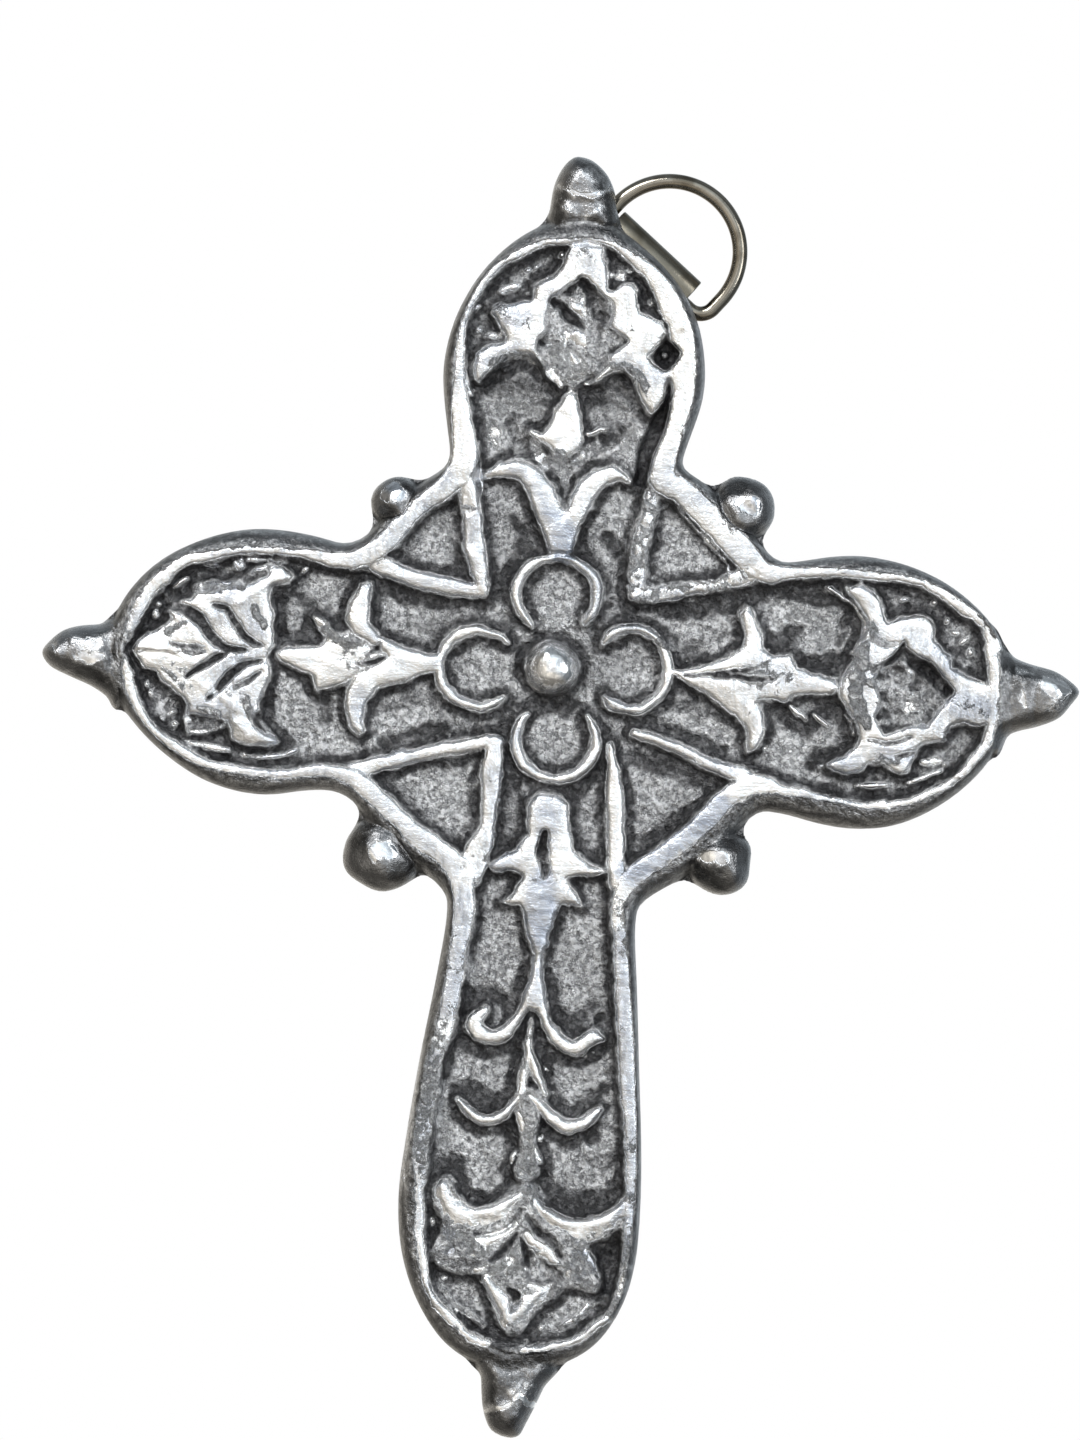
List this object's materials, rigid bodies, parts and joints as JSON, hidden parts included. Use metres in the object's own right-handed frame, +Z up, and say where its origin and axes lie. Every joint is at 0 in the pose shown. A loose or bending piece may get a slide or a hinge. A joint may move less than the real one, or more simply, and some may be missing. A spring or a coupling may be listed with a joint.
{
  "type": "wall cross",
  "caption": "Cast metal wall cross with a ringed crossing, quatrefoil boss, vine-leaf relief, finials and knobs, hung from a D-ring strap riveted to its back.",
  "frame": {"origin": "on the flat back face, behind the middle of the ring at the crossing", "axes": "+Z up along the long arm towards the hanger, +Y out of the back face towards the wall, -Y the relief front, +X to the right as seen from the front"},
  "size_m": [0.133, 0.0115, 0.1644],
  "materials": {
    "antiqued_casting": "cast, with bright worn relief over a dark antiqued ground",
    "nickel_strap": "dull nickel plate on folded steel strip",
    "nickel_ring": "nickel plate on bent steel wire",
    "nickel_rivet": "nickel plate"
  },
  "bodies": {
    "cross": {"cross_casting": "antiqued_casting", "hanger_rivet": "nickel_rivet"},
    "strap": {"hanger_strap": "nickel_strap"},
    "ring": {"d_ring": "nickel_ring"}
  },
  "joints": [
    {"name": "strap_swivel", "type": "hinge", "parent": "cross", "child": "strap", "pos_m": [0.0006, 0, 0.0431], "axis": [0, 1, 0], "continuous": true},
    {"name": "ring_hinge", "type": "hinge", "parent": "strap", "child": "ring", "pos_m": [0.00987, 0.00245, 0.05262], "axis": [-0.7672, 0, 0.6414], "range_deg": [0, 150]}
  ]
}
